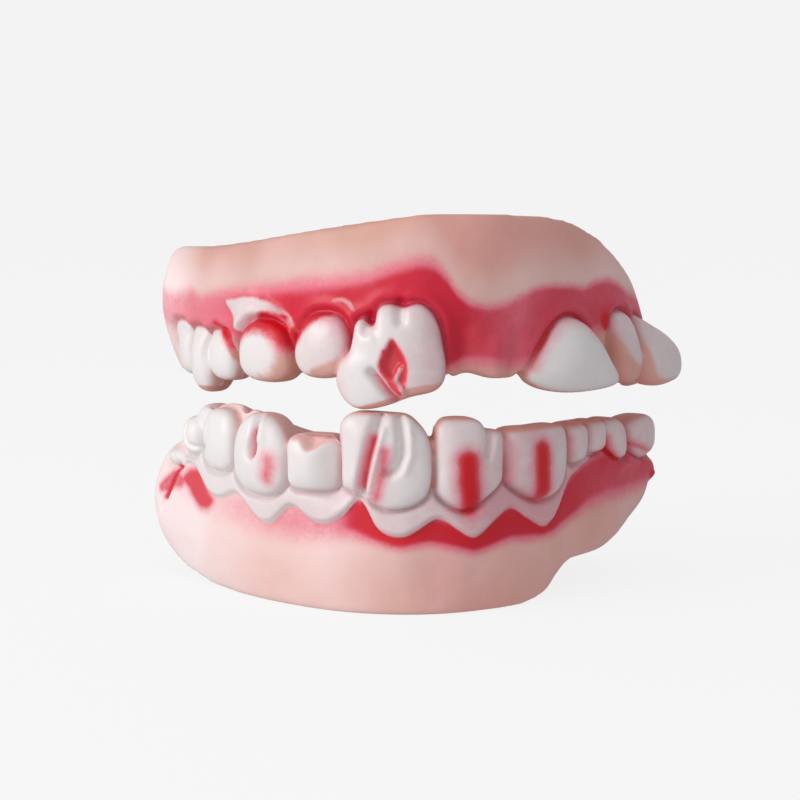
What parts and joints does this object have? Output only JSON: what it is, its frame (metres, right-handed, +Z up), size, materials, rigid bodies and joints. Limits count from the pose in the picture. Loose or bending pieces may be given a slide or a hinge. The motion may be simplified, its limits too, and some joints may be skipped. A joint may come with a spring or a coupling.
{
  "type": "costume false teeth",
  "caption": "Costume false teeth: an upper and a lower row of crooked, bloody teeth in soft painted rubber, each a curved trough that slips over the wearer's own teeth.",
  "frame": {"origin": "centre of the box that holds both rows, on the surface that the lower row stands on", "axes": "+X to the right seen from the front, -Y the way the front teeth face, +Z up"},
  "size_m": [0.0692, 0.0385, 0.0479],
  "materials": {
    "painted_rubber": "flesh-coloured soft rubber with white sprayed teeth and red sprayed gum lines, satin"
  },
  "bodies": {
    "root": {"lower_moulding": "painted_rubber", "upper_moulding": "painted_rubber"}
  },
  "joints": []
}
